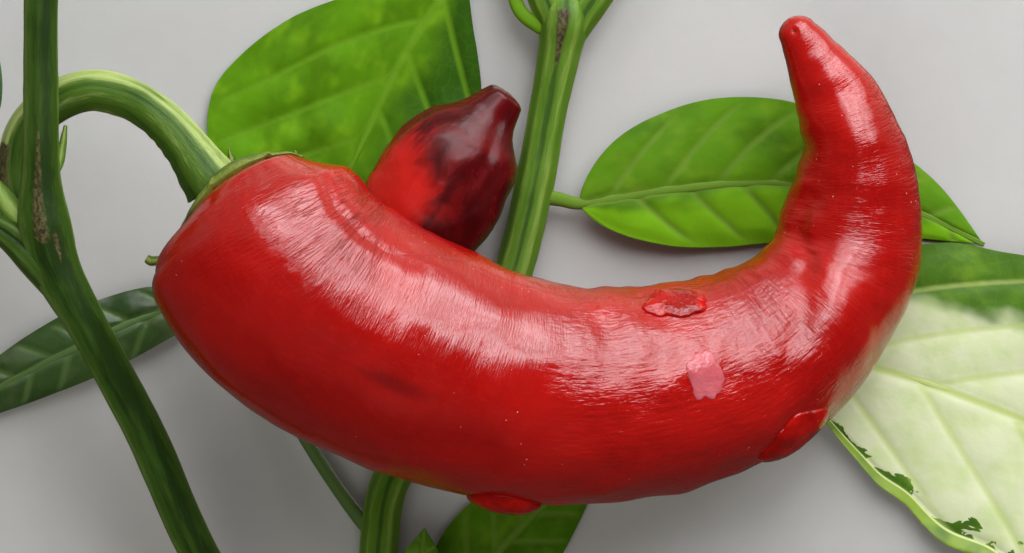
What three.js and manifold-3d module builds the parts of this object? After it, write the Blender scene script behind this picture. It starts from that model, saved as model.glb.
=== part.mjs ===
// A cut, forked branch of a chilli pepper plant with one large curved fruit, lying on its side.
// Millimetres, +Z up. The branch is laid out in its own plane, x to the right, y along the shoots,
// z the height over the surface it lies on, and the whole group is centred on the origin at the end.
import * as THREE from 'three';
import { mergeVertices } from 'three/addons/utils/BufferGeometryUtils.js';
import Module from 'manifold-3d';

const wasm = await Module();
wasm.setup();

// Driving dimensions
const fruitRadius = 15.25;        // widest part of the large fruit
const secondRadius = 8.7;         // widest part of the small fruit
const armRadius = 2.4;            // the two arms of the fork
const shootRadius = 2.15;         // the young shoots above the nodes
const pedicelRadius = 2.6;        // the stalk that carries the large fruit
const petioleRadius = 1.1;        // leaf stalks where they leave a stem
const veinTipRadius = 0.42;       // midrib at the leaf's tip
const leafThickness = 0.7;
const calyxRadius = 8.1;
const joinGap = 0.3;              // what is left clear between pieces that touch

const stemSides = 12;
const ringSpacing = 4;            // length of stem between two rings
const fruitSides = 22;
const fruitRingSpacing = 3;

// Finishes
const finish = (color, roughness) => new THREE.MeshStandardMaterial({ color, roughness, metalness: 0 });
const stemGreen = finish('#3f7426', 0.5);
const stalkGreen = finish('#5d9440', 0.45);
const calyxGreen = finish('#6a9a35', 0.55);
const ripeRed = finish('#b80f12', 0.2);
const darkRed = finish('#7a0d10', 0.25);
const leafGreen = finish('#5f9a1c', 0.5);
const paleLeaf = finish('#8fb36a', 0.45);
const darkLeaf = finish('#2a5a24', 0.35);

// Merged and without empty triangles, so that the surface is one closed skin
function skinOf(geometry) {
  const bare = geometry.clone();
  bare.deleteAttribute('normal');
  bare.deleteAttribute('uv');
  const merged = mergeVertices(bare);
  const corners = [];
  for (let i = 0; i < merged.index.count; i += 3) {
    const [a, b, c] = [0, 1, 2].map((k) => merged.index.getX(i + k));
    if (a !== b && b !== c && c !== a) corners.push(a, b, c);
  }
  merged.setIndex(corners);
  return merged;
}

// Joins closed skins into one solid
function fuse(...geometries) {
  const solids = geometries.map((geometry) => {
    const skin = skinOf(geometry);
    return new wasm.Manifold(new wasm.Mesh({
      numProp: 3,
      vertProperties: Float32Array.from(skin.attributes.position.array),
      triVerts: Uint32Array.from(skin.index.array),
    }));
  });
  const mesh = solids.reduce((whole, solid) => whole.add(solid)).getMesh();
  const joined = new THREE.BufferGeometry();
  joined.setAttribute('position', new THREE.BufferAttribute(Float32Array.from(mesh.vertProperties), 3));
  joined.setIndex(Array.from(mesh.triVerts));
  joined.computeVertexNormals();
  return joined;
}

const pathThrough = (stations) => new THREE.CatmullRomCurve3(
  stations.map(([x, y, z]) => new THREE.Vector3(x, y, z)), false, 'centripetal',
);

// Place and directions at a length along a path; past its ends it runs on straight
function frameAt(path, length, reach) {
  const share = THREE.MathUtils.clamp(reach / length, 0, 1);
  const along = path.getTangentAt(share);
  const centre = path.getPointAt(share).addScaledVector(along, reach - share * length);
  const up = new THREE.Vector3(0, 0, 1).addScaledVector(along, -along.z).normalize();
  const side = new THREE.Vector3().crossVectors(along, up);
  return { centre, along, up, side };
}

// A tapering round limb through stations [x, y, z, radius], cut flat at its start and flat or domed
// at its end. It is a lathe whose axis is bent onto the path; flat squeezes it in height.
function limb(stations, options = {}) {
  const { sides = stemSides, spacing = ringSpacing, flat = 1, domeEnd = 0 } = options;
  const path = pathThrough(stations);
  const samples = 16;
  const reaches = path.getLengths((stations.length - 1) * samples);
  const length = path.getLength();
  const taper = new THREE.SplineCurve(
    stations.map(([, , , radius], i) => new THREE.Vector2(radius, reaches[i * samples])),
  );
  const rings = taper.getPoints(Math.max(stations.length, Math.round(length / spacing)));
  const last = rings.at(-1);
  const domeTurns = domeEnd > 0 ? [Math.PI / 6, Math.PI / 3] : [];
  const profile = [
    new THREE.Vector2(0, 0),
    ...rings,
    ...domeTurns.map((turn) => new THREE.Vector2(
      last.x * Math.cos(turn), last.y + domeEnd * Math.sin(turn),
    )),
    new THREE.Vector2(0, last.y + domeEnd),
  ];
  const geometry = new THREE.LatheGeometry(profile, sides);
  const corner = geometry.attributes.position;
  for (let i = 0; i < corner.count; i += 1) {
    const { centre, up, side } = frameAt(path, length, corner.getY(i));
    const place = centre.addScaledVector(side, corner.getX(i)).addScaledVector(up, flat * corner.getZ(i));
    corner.setXYZ(i, place.x, place.y, place.z);
  }
  return geometry;
}

// Share of the full half width at a share of the leaf's length: round foot, long drawn tip
function leafOutline(share, peak) {
  const tipPower = 1.05;
  const footPower = tipPower * peak / (1 - peak);
  return (share / peak) ** footPower * ((1 - share) / (1 - peak)) ** tipPower;
}

// A leaf: a thin blade along its midrib, with stalk and midrib as one tapering limb sunk in it.
// left and right are the half widths on the two sides of travel, rise* lifts each margin.
function leaf({ stalk, midrib, left, right, riseLeft = 0, riseRight = 0, ripple = 0, peak = 0.38 }) {
  const lengthSteps = 14;
  const halfSteps = 2;
  const narrowest = 0.5;
  const path = pathThrough(midrib);
  const length = path.getLength();
  const blade = new THREE.BoxGeometry(1, 1, 2, lengthSteps, 1, 2 * halfSteps);
  const corner = blade.attributes.position;
  for (let i = 0; i < corner.count; i += 1) {
    const share = corner.getX(i) + 0.5;
    const across = corner.getZ(i);
    const { centre, up, side } = frameAt(path, length, share * length);
    const full = Math.max(narrowest, leafOutline(share, peak) * (across > 0 ? right : left));
    const rise = across > 0 ? riseRight : riseLeft;
    const wave = ripple * Math.sin(share * 5 * Math.PI) * across ** 2 * leafOutline(share, peak);
    const lift = rise * Math.abs(across) ** 1.5 * leafOutline(share, peak) + wave;
    const place = centre.addScaledVector(side, across * full)
      .addScaledVector(up, lift + leafThickness * corner.getY(i));
    corner.setXYZ(i, place.x, place.y, place.z);
  }
  const last = stalk.length + midrib.length - 1;
  const veinStations = [...stalk, ...midrib].map(([x, y, z], i) => [
    x, y, z, THREE.MathUtils.lerp(petioleRadius, veinTipRadius, i / last),
  ]);
  const vein = limb(veinStations, { sides: 6, spacing: 6 });
  return fuse(blade, vein);
}

// The large fruit hangs from its stalk, bends round and turns its tip up again
const fruitSpine = [
  [-34.0, 11.0, 27, 0.53],
  [-32.6, 7.4, 27, 0.84],
  [-29.6, 1.8, 27, 0.975],
  [-25.0, -3.2, 26.8, 1],
  [-11.5, -10.4, 25.5, 0.97],
  [3.4, -14.6, 23.2, 0.918],
  [18.6, -14.2, 19.2, 0.865],
  [32.8, -9.2, 14.8, 0.76],
  [41.8, 0.5, 12.4, 0.605],
  [43.6, 12.2, 13.6, 0.5],
  [41.1, 22.8, 15.8, 0.33],
  [35.7, 30.8, 17.4, 0.15],
].map(([x, y, z, share]) => [x, y, z, share * fruitRadius]);

// The small fruit lies under the large one, blunt tip up, squeezed a little in height
const secondSpine = [
  [-16.4, 0.2, 6.8, 0.46],
  [-14.9, 2.8, 7.4, 0.76],
  [-11.8, 7.4, 8.4, 0.96],
  [-8.4, 12.6, 9, 1],
  [-5.2, 17.2, 9.4, 0.77],
  [-2.6, 20.4, 9.7, 0.4],
  [-0.7, 23.4, 10, 0.26],
].map(([x, y, z, share]) => [x, y, z, share * secondRadius]);
const secondFlat = 0.8;

// A calyx is a saucer on the foot of its fruit, standing joinGap off it, with a low dome
function calyx(spine, radius, rimHeight, domeHeight) {
  const path = pathThrough(spine);
  const foot = frameAt(path, path.getLength(), 0);
  const profile = [
    new THREE.Vector2(0, joinGap),
    new THREE.Vector2(radius, joinGap),
    new THREE.Vector2(radius, joinGap + rimHeight),
    new THREE.Vector2(0.62 * radius, joinGap + 0.5 * (rimHeight + domeHeight)),
    new THREE.Vector2(0.25 * radius, joinGap + domeHeight),
    new THREE.Vector2(0, joinGap + domeHeight),
  ];
  const geometry = new THREE.LatheGeometry(profile, 18);
  const outward = foot.along.clone().negate();
  geometry.applyQuaternion(new THREE.Quaternion().setFromUnitVectors(new THREE.Vector3(0, 1, 0), outward));
  geometry.translate(foot.centre.x, foot.centre.y, foot.centre.z);
  return geometry;
}

const branch = new THREE.Group();
function add(name, geometry, material) {
  const mesh = new THREE.Mesh(skinOf(geometry), material);
  mesh.name = name;
  branch.add(mesh);
}

// Woody stems: the cut foot, the fork's two arms and the young shoots above their nodes
add('stem_base', limb([
  [-22.1, -84.1, 3.4, 3.1], [-21.2, -73.8, 3.5, 3.1], [-20.7, -67.8, 3.7, 3.6],
]), stemGreen);
add('stem_left', limb([
  [-23.5, -66.9, 4.5, 2.5], [-29.4, -54.3, 6.2, 2.45], [-35.8, -42.6, 9.5, armRadius],
  [-40.7, -33.3, 13, armRadius], [-46.4, -19.6, 17.5, 2.45], [-53.7, -5.4, 21.8, 2.6],
  [-57.0, 1.0, 23.4, 3.2], [-58.6, 6.9, 24.4, 3.3],
]), stemGreen);
add('stem_right', limb([
  [-18.2, -66.9, 3.4, 2.5], [-18, -54.5, 3.2, armRadius], [-17, -41.7, 3, armRadius],
  [-17, -33.9, 3, armRadius], [-15.5, -26.2, 2.9, armRadius], [-8.2, -15.9, 2.9, armRadius],
  [-2.6, -6.9, 2.9, armRadius], [0.5, 1.5, 3, armRadius], [2.8, 11.1, 3.2, armRadius],
  [4.7, 21.4, 3.5, armRadius], [6.2, 29, 4, 2.7], [6.7, 32.2, 4.3, 3.2],
]), stemGreen);
add('shoot_left', limb([
  [-58.9, 8.6, 25.2, 2.7], [-58.7, 14, 26.3, shootRadius], [-58.6, 26.9, 28, shootRadius],
  [-58.5, 34.3, 29, shootRadius], [-58.2, 42.9, 30, 2.05],
]), stemGreen);
add('side_shoot_left', limb([
  [-63.4, 5.9, 23.4, 1.5], [-66.4, 7.2, 22.8, 1.3], [-69.8, 9.2, 22, 1.2], [-76.2, 13.4, 21, 1.1],
]), stemGreen);
add('shoot_right_a', limb([
  [4.9, 34, 4.5, 2.1], [2.9, 38.7, 4.9, 1.9], [-0.6, 45.7, 5.5, 1.8],
]), stemGreen);
add('shoot_right_b', limb([
  [9.6, 33.6, 4.5, 2.1], [12.6, 38.3, 5, 1.9], [17.4, 45.1, 6, 1.8],
]), stemGreen);

// The large fruit with its calyx; its arched stalk is split at the top of the arch
add('fruit_main', limb(fruitSpine, { sides: fruitSides, spacing: fruitRingSpacing, domeEnd: 1.8 }), ripeRed);
add('calyx_main', calyx(fruitSpine, calyxRadius, 1, 2), calyxGreen);
add('pedicel_rise', limb([
  [-61.2, 9.3, 20.7, 2.3], [-62.1, 12.6, 20.5, 2.4], [-61.4, 17.3, 20.5, 2.5],
  [-58.9, 20.7, 20.8, pedicelRadius], [-56, 22.5, 21.2, pedicelRadius], [-53.6, 23.2, 21.9, pedicelRadius],
]), stalkGreen);
add('pedicel_fall', limb([
  [-52.1, 23.3, 22.3, pedicelRadius], [-49.2, 22.7, 23, pedicelRadius], [-45.9, 21.2, 24.2, pedicelRadius],
  [-42.5, 18.3, 25.3, 2.7], [-40, 15.3, 26.2, 2.9], [-38.6, 13.3, 26.7, 3.4],
]), stalkGreen);

// The small fruit
add('fruit_second', limb(secondSpine, { sides: 18, spacing: 2.5, flat: secondFlat, domeEnd: 1.2 }), darkRed);
add('calyx_second', calyx(secondSpine, 3.6, 0.8, 1.2), calyxGreen);
add('pedicel_second', limb([
  [-17.2, -2.2, 6.3, 1.9], [-19.3, -6.4, 5.4, 1.6], [-18.6, -13.5, 4, 1.5], [-14.6, -19.05, 3, 1.6],
], { sides: 10 }), stalkGreen);

// Leaves, each with its stalk and midrib
add('leaf_top', leaf({
  stalk: [[1.2, 33.9, 4.2], [-0.6, 38.2, 3.6], [-3.4, 40.8, 2.6]],
  midrib: [[-6, 40, 1.8], [-10.5, 34, 1.2], [-15, 26.5, 0.8], [-20.5, 14.8, 0.7], [-29.5, -2, 0.6]],
  left: 14, right: 22, ripple: 0.2, peak: 0.5,
}), leafGreen);
add('leaf_right', leaf({
  stalk: [[6.2, 9.9, 3.2]],
  midrib: [[8.7, 9.4, 3.3], [20, 11.1, 3], [34.5, 12, 1.8], [50, 9.2, 0.8], [61, 4.1, 0.7]],
  left: 11, right: 8, riseLeft: -1, riseRight: -0.8, ripple: 0.3,
}), leafGreen);
add('leaf_lower_right', leaf({
  stalk: [[-2.2, -12.9, 2.6], [6.2, -12.3, 2], [19.1, -9.7, 1.5]],
  midrib: [[27, -8.3, 1.4], [38, -9.5, 1.2], [47.6, -11.9, 1.3], [59, -15.7, 1.8], [74.6, -22.4, 1.8],
    [92, -33, 0.6]],
  left: 20, right: 19, riseLeft: 1.2, riseRight: -0.9, peak: 0.5,
}), paleLeaf);
add('leaf_left', leaf({
  stalk: [[-20.1, -30.6, 2.4], [-26, -22, 1.9], [-33, -10, 1.6]],
  midrib: [[-38.5, -3, 1.6], [-47.1, -5.2, 2], [-58.5, -10.3, 2.2], [-66, -14.2, 2], [-79, -21.1, 0.8]],
  left: 4.5, right: 4.5, riseLeft: -0.6, riseRight: -0.6,
}), darkLeaf);
add('leaf_bottom', leaf({
  stalk: [[-14.1, -53, 3], [-12.2, -49.6, 2.2]],
  midrib: [[-9.8, -46, 1.6], [-3.5, -37.5, 1.6], [3, -30.5, 1.5], [13, -21, 0.8]],
  left: 7, right: 7, riseLeft: -0.7, riseRight: -0.7,
}), leafGreen);
add('leaf_young', leaf({
  stalk: [[-13.4, -47, 4.4]],
  midrib: [[-12.4, -43.5, 5.2], [-11.9, -39.5, 6], [-11.2, -32.2, 6.6]],
  left: 3.5, right: 3.5, riseLeft: 0.8, riseRight: 0.8,
}), leafGreen);
add('leaf_side', leaf({
  stalk: [[-70, 11.6, 22.6]],
  midrib: [[-70.2, 15.6, 23.6], [-69.8, 21, 25], [-68.6, 27, 26], [-66.8, 35, 26]],
  left: 6, right: 6, riseLeft: 0.8, riseRight: 0.8,
}), paleLeaf);

// Origin at the middle of the branch's underside
const part = new THREE.Group();
part.add(branch);
const bounds = new THREE.Box3().setFromObject(branch, true);
const middle = bounds.getCenter(new THREE.Vector3());
branch.position.set(-middle.x, -middle.y, -bounds.min.z);

export default part;
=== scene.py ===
# A cut branch of a chilli pepper plant, one large ripe fruit curled like a hook.
# Lengths are millimetres in the branch's own plane, x to the right and y along the shoots;
# inFrame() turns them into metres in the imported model's frame.
import math

import bpy
import numpy as np
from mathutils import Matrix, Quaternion, Vector


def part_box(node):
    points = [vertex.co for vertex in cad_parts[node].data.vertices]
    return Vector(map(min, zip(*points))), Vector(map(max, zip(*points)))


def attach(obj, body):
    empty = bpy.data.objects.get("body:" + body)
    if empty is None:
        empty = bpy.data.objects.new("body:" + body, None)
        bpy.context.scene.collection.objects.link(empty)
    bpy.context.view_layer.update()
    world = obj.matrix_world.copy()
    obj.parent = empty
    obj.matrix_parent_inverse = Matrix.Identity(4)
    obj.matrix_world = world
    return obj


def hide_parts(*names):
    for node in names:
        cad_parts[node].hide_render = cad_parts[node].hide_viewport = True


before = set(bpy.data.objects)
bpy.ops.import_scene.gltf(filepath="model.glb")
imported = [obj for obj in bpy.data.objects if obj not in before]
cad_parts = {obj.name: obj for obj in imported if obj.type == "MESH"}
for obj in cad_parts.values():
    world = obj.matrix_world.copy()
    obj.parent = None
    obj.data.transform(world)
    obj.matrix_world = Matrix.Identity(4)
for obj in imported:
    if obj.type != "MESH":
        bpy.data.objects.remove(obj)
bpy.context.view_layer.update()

mm = 0.001


# Shapes: small tools

def smoothStep(low, high, value):
    # 0 below low, 1 above high, 3t^2 - 2t^3 between
    share = np.clip((value - low) / (high - low), 0, 1)
    return share * share * (3 - 2 * share)


def band(value, starts, full, until, gone):
    # 0 up to where it starts, 1 from full until it begins to fade, 0 where it is gone
    return smoothStep(starts, full, value) * (1 - smoothStep(until, gone, value))


def hump(distance, width):
    # Bell: e to the minus (distance / width) squared
    return np.exp(-(distance / width) ** 2)


def turnGap(turn, degrees):
    # Angle from a turn given in degrees, wrapped to -pi..pi
    return (turn - np.radians(degrees) + math.pi) % (2 * math.pi) - math.pi


def noiseAt(points, size, seed):
    # Smooth noise, -1 to 1: random values on the corners of a lattice of that size, eased between them
    table = np.random.default_rng(seed).uniform(-1, 1, (29, 31, 37))
    place = points / np.asarray(size, float) + 200
    cell = np.floor(place).astype(int)
    part = place - cell
    ease = part * part * (3 - 2 * part)
    total = np.zeros(points.shape[:-1])
    for corner in np.ndindex(2, 2, 2):
        weight = np.prod(np.where(corner, ease, 1 - ease), axis=-1)
        index = (cell + corner) % table.shape
        total += weight * table[index[..., 0], index[..., 1], index[..., 2]]
    return total


def curveThrough(stations):
    # Smooth curve through stations (x, y, z, radius): between two stations a cubic whose end slopes come
    # from the chords on both sides, weighted by the square root of their lengths
    stations = np.array(stations, float)
    row = np.vstack([2 * stations[0] - stations[1], stations, 2 * stations[-1] - stations[-2]])
    gap = np.linalg.norm(np.diff(row[:, :3], axis=0), axis=1) ** 0.5
    p0, p1, p2, p3 = row[:-3], row[1:-2], row[2:-1], row[3:]
    d0, d1, d2 = gap[:-2, None], gap[1:-1, None], gap[2:, None]
    m1 = ((p1 - p0) / d0 - (p2 - p0) / (d0 + d1) + (p2 - p1) / d1) * d1
    m2 = ((p2 - p1) / d1 - (p3 - p1) / (d1 + d2) + (p3 - p2) / d2) * d1
    t = np.linspace(0, 1, 48, endpoint=False)[None, :, None]
    p1, p2, m1, m2 = (a[:, None, :] for a in (p1, p2, m1, m2))
    spans = ((2 * t**3 - 3 * t**2 + 1) * p1 + (t**3 - 2 * t**2 + t) * m1
             + (3 * t**2 - 2 * t**3) * p2 + (t**3 - t**2) * m2)
    points = np.vstack([spans.reshape(-1, 4), stations[-1:]])
    steps = np.linalg.norm(np.diff(points[:, :3], axis=0), axis=1)
    return {"points": points, "reach": np.concatenate([[0], np.cumsum(steps)])}


def curveLength(curve):
    return curve["reach"][-1]


def placesOn(curve, reach):
    # Centre, radius and directions at any array of reaches; past its ends the curve runs on straight.
    # up is +Z less its part along the curve, side is along x up.
    reach = np.asarray(reach, float)
    inside = np.clip(reach, 0, curveLength(curve))
    step = 0.05
    near = np.stack([np.interp(inside, curve["reach"], curve["points"][:, k]) for k in range(4)], -1)
    ahead, behind = (np.stack([
        np.interp(np.clip(inside + d, 0, curveLength(curve)), curve["reach"], curve["points"][:, k])
        for k in range(3)], -1) for d in (step, -step))
    along = ahead - behind
    along /= np.linalg.norm(along, axis=-1, keepdims=True)
    up = np.array([0, 0, 1.0]) - along * along[..., 2:]
    up /= np.linalg.norm(up, axis=-1, keepdims=True)
    return {
        "centre": near[..., :3] + along * (reach - inside)[..., None],
        "radius": near[..., 3],
        "along": along, "up": up, "side": np.cross(along, up),
    }


def aroundPlaces(place, turn, radius, flat=1.0):
    # centre + side * radius sin(turn) + up * flat * radius cos(turn)
    return (place["centre"] + place["side"] * (radius * np.sin(turn))[..., None]
            + place["up"] * (flat * radius * np.cos(turn))[..., None])


def unrolled(reach, turn, radius):
    # Places on a limb laid out straight: reach, radius sin(turn), radius cos(turn)
    return np.stack([reach, radius * np.sin(turn), radius * np.cos(turn)], -1)


def turnsRound(columns):
    # One row of angles round a limb, from its underside
    return np.linspace(-math.pi, math.pi, columns, endpoint=False)[None, :]


def closedSkin(rings, **marks):
    # Closed skin over rings of points (rows x columns x 3), its first and last ring drawn into one point
    def flattened(values):
        return np.concatenate([
            values[0].mean(0)[None], values[1:-1].reshape(-1, *values.shape[2:]), values[-1].mean(0)[None]])

    rows, columns = rings.shape[:2]
    ring = 1 + np.arange((rows - 2) * columns).reshape(rows - 2, columns)
    beside = np.roll(ring, -1, 1)
    quads = np.stack([ring[:-1], beside[:-1], beside[1:], ring[1:]], -1).reshape(-1, 4)
    first = np.stack([np.zeros(columns, int), beside[0], ring[0]], -1)
    last = np.stack([ring[-1], beside[-1], np.full(columns, ring[-1, -1] + 1)], -1)
    points, triangles = flattened(rings), np.vstack([first, last])
    halves = np.vstack([quads[:, :3], quads[:, [0, 2, 3]], triangles])
    a, b, c = (points[halves[:, k]] - points[0] for k in range(3))
    if np.einsum("ij,ij->", a, np.cross(b, c)) < 0:      # inside out
        quads, triangles = quads[:, ::-1], triangles[:, ::-1]
    return {"points": points, "quads": quads, "triangles": triangles,
            "marks": {name: flattened(values) for name, values in marks.items()}}


def buildPiece(name, skins, material, nodes=()):
    # One mesh object of one or more closed skins, with their marks as point attributes
    starts = np.cumsum([0] + [len(skin["points"]) for skin in skins])
    quads = np.vstack([skin["quads"] + start for skin, start in zip(skins, starts)])
    triangles = np.vstack([skin["triangles"] + start for skin, start in zip(skins, starts)])
    mesh = bpy.data.meshes.new(name)
    mesh.vertices.add(starts[-1])
    mesh.vertices.foreach_set("co", inFrame(np.vstack([skin["points"] for skin in skins])).ravel())
    mesh.loops.add(quads.size + triangles.size)
    mesh.loops.foreach_set("vertex_index", np.concatenate([quads.ravel(), triangles.ravel()]))
    mesh.polygons.add(len(quads) + len(triangles))
    mesh.polygons.foreach_set("loop_start", np.concatenate([
        4 * np.arange(len(quads)), quads.size + 3 * np.arange(len(triangles))]))
    mesh.update(calc_edges=True)
    mesh.validate()
    mesh.shade_smooth()
    for mark in skins[0]["marks"]:
        values = np.concatenate([skin["marks"][mark] for skin in skins])
        isVector = values.ndim == 2
        made = mesh.attributes.new(mark, "FLOAT_VECTOR" if isVector else "FLOAT", "POINT")
        made.data.foreach_set("vector" if isVector else "value", values.ravel())
    piece = bpy.data.objects.new(name, mesh)
    bpy.context.scene.collection.objects.link(piece)
    mesh.materials.append(material)
    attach(piece, "root")
    if nodes:
        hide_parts(*nodes)
    print(f"{name}: {2 * len(quads) + len(triangles)} triangles")


# The large fruit's own axis, x, y, z and share of its widest radius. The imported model's fruit gives
# the step from these millimetres to its frame.
fruit = {
    "radius": 15.25,
    "axis": [(-34.0, 11.0, 27, 0.53), (-32.6, 7.4, 27, 0.84), (-29.6, 1.8, 27, 0.975), (-25.0, -3.2, 26.8, 1),
             (-11.5, -10.4, 25.5, 0.97), (3.4, -14.6, 23.2, 0.918), (18.6, -14.2, 19.2, 0.865),
             (32.8, -9.2, 14.8, 0.76), (41.8, 0.5, 12.4, 0.605), (43.6, 12.2, 13.6, 0.5),
             (41.0, 22.8, 15.8, 0.34), (36.0, 30.8, 17.4, 0.172)],
    "tipDome": 2.3,
    # the foot under the calyx: height of its dome, how it leans and nods, and how round it is
    "foot": {"radius": 8.08, "dome": 1.1, "lean": -0.22, "nod": 0.25, "round": 0.031, "fade": 9.0},
    "columns": 156,
    "rowStep": 0.212,
    "footShares": [0, 0.25, 0.5, 0.7, 0.85, 0.95],
    "domeDegrees": [8, 18, 28, 38, 48, 58, 68, 78, 90],
    # reaches where the hook's rough skin and the crumpled skin before it start, are full, and end
    "hookBand": (74, 92, 121, 126),
    "crumpledBand": (44, 58, 86, 94),
    # lumps: height, what the hook adds, what the crumpled skin adds, size, seed
    "lumps": [(0.2, 0.16, 0, 16, 11), (0.09, 0.12, 0, 6.5, 12), (0.18, 0, 0, (3.2, 4.2, 4.2), 15),
              (0.06, 0.018, 0, (1.5, 2.4, 2.4), 13), (0, 0, 0.24, (3.6, 3.1, 3.1), 17)],
    # furrow between two lobes of the foot, and the one inside the bend: reach, turn in degrees, depth
    "furrow": [(0, -60, 0.08), (7.8, -45, 0.24), (16.7, -44, 0.26), (21.3, -43, 0.18), (27, -46, 0.08),
               (33, -48, 0)],
    "hookFurrow": [(76, 8, 0), (79, 3, 0.25), (82, -4, 0.5), (87.9, -22, 0.62), (93.9, -37, 0.45),
                   (103.3, -65, 0.15), (107, -75, 0)],
    # dents and bumps of the thin skin: reach, turn in degrees, length, width, height outwards
    "dents": [(3.6, -86, 3.4, 5.5, 0.9), (6.0, 90, 6.5, 9.0, 0.75), (2.4, 86, 2.4, 6.0, 0.45),
              (119.0, -92, 3.4, 2.8, 0.6), (103.8, -50, 2.2, 2.2, -0.45), (105.8, -64, 1.5, 2.0, 0.3),
              (99.4, -39, 2.4, 1.6, 0.35), (94.0, -6, 2.2, 1.9, 0.3), (96.8, -24, 1.8, 1.8, -0.35),
              (90.5, -6, 4.5, 4.5, 0.9), (79.5, -12, 4.0, 4.0, -0.45), (86.5, 18, 6.0, 4.2, 0.8),
              (85.5, -27, 5.0, 3.0, -0.6),
              (107.5, 12, 6.0, 5.0, 0.6), (112.6, -43, 3.0, 2.2, -0.2), (112.2, 6, 3.0, 3.4, 0.6),
              (117.6, 3, 1.5, 3.0, -0.25), (121.2, -3, 1.2, 2.4, -0.25), (124.0, 4, 1.4, 1.8, -0.3),
              (30.0, 13, 7.0, 2.6, -0.16), (76.5, -50, 3.0, 3.0, 0.2), (73.0, -20, 2.6, 2.4, -0.4),
              (54.0, -30, 3.4, 2.6, -0.4), (46.0, -22, 3.0, 3.0, 0.2), (37.0, -16, 2.6, 3.0, -0.2),
              (64.5, -10, 3.8, 2.2, 0.6), (64.5, -46, 3.8, 2.2, -0.35), (111.0, -84, 1.8, 3.2, -0.7),
              (101.5, -92, 4.5, 5.0, 0.9)],
    # small pit by the tip, and a faint dark stroke of painted shade along a shallow dent on the belly: reach,
    # turn, length, width
    "scar": (126.9, -10, 0.32, 0.55),
    "bruise": (29.5, 14, 5, 1.2),
}


def footHeight(across, towards):
    # Height of the fruit's foot over its first station: dome + lean across + nod towards the camera
    # - round r^2 inside the foot's radius, sloping down the shoulder outside it
    foot = fruit["foot"]
    radius = np.hypot(across, towards)
    inside = np.minimum(1, foot["radius"] / np.maximum(radius, 1e-6))
    height = foot["dome"] + foot["lean"] * across * inside + foot["nod"] * towards * inside
    height -= foot["round"] * np.minimum(radius, foot["radius"]) ** 2
    return height - np.maximum(0, radius - foot["radius"]) / 1.2


def spotOn(reach, turn, radius, place, degrees, length, width):
    # Bell along times bell across, round a place on the skin
    return hump(reach - place, length) * hump(radius * turnGap(turn, degrees), width)


def fruitRelief(reach, turn, radius):
    # Height of the skin over the plain bent cone: lumps of several sizes, two furrows, dents and bumps as
    # bells, and transverse wrinkles. The marks say how wrinkled the skin is, how far it is from the
    # furrow's line, and where the scar and the painted shade on the belly are.
    straight = unrolled(reach, turn, radius)
    hook, crumpled = band(reach, *fruit["hookBand"]), band(reach, *fruit["crumpledBand"])
    relief = sum((height + onHook * hook + onCrumpled * crumpled) * noiseAt(straight, size, seed)
                 for height, onHook, onCrumpled, size, seed in fruit["lumps"])
    for key, width in (("hookFurrow", 2.2), ("furrow", 1.0)):
        place, degrees, depth = np.array(fruit[key]).T
        across = radius * turnGap(turn, np.interp(reach, place, degrees))
        depth = np.interp(reach, place, depth, left=0, right=0)
        depth = depth * (1 + 0.5 * noiseAt(straight, (3, 50, 50), 16))
        relief += depth * (0.7 * hump(across, 4.5 * width) - 1.3 * hump(across, width))
        fold = across + 4 * smoothStep(0.6 * place[-1], place[-1], reach)      # kept for the foot's furrow
    for *spot, height in fruit["dents"]:
        relief += height * spotOn(reach, turn, radius, *spot)
    shoulder = band(reach, 0, 5, 16, 27) * hump(turnGap(turn, -42), 0.55)
    outside = band(reach, 90, 98, 114, 122) * hump(turnGap(turn, 78), 0.6)
    inside = hump(reach - 99, 4) * hump(turnGap(turn, 0), 0.22)
    crease = hump(reach - 81, 7) * hump(turnGap(turn, -40), 0.7)
    wrinkle = np.clip(shoulder + 0.75 * outside + 0.5 * inside + 0.8 * crease, 0, 1)
    pleat = 1 - 2 * np.abs(noiseAt(straight, (0.95, 7, 7), 14))
    relief += 0.035 * wrinkle * pleat * smoothStep(0, 1, reach)
    scar, bruise = (spotOn(reach, turn, radius, *fruit[key]) for key in ("scar", "bruise"))
    relief = relief * (0.2 + 0.8 * smoothStep(-0.5, 2.5, reach)) - 0.3 * scar
    return relief, {"wrinkle": wrinkle, "fold": np.clip(fold, -4, 4), "scar": scar, "bruise": bruise}


def fruitSkin(reach, turn, radius, towards=None):
    # Bent cone moved outwards by its relief; towards gives the outward direction on the domed ends
    place = placesOn(fruit["curve"], reach)
    relief, marks = fruitRelief(reach, turn, np.maximum(radius, 2))
    foot = fruit["foot"]
    inner = np.where(reach > 0, foot["radius"], radius)
    rise = footHeight(inner * np.sin(turn), inner * np.cos(turn)) * (1 - smoothStep(0, foot["fade"], reach))
    points = aroundPlaces(place, turn, radius) - place["along"] * rise[..., None]
    outward = aroundPlaces({**place, "centre": 0}, turn, np.ones_like(radius))
    if towards is not None:
        outward = outward * np.cos(towards)[..., None] + place["along"] * np.sin(towards)[..., None]
    return points + outward * relief[..., None], outward, marks


def stationsOf(form):
    # Points of the axis, each with its share of the widest radius
    return [(x, y, z, share * form["radius"]) for x, y, z, share in form["axis"]]


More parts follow.
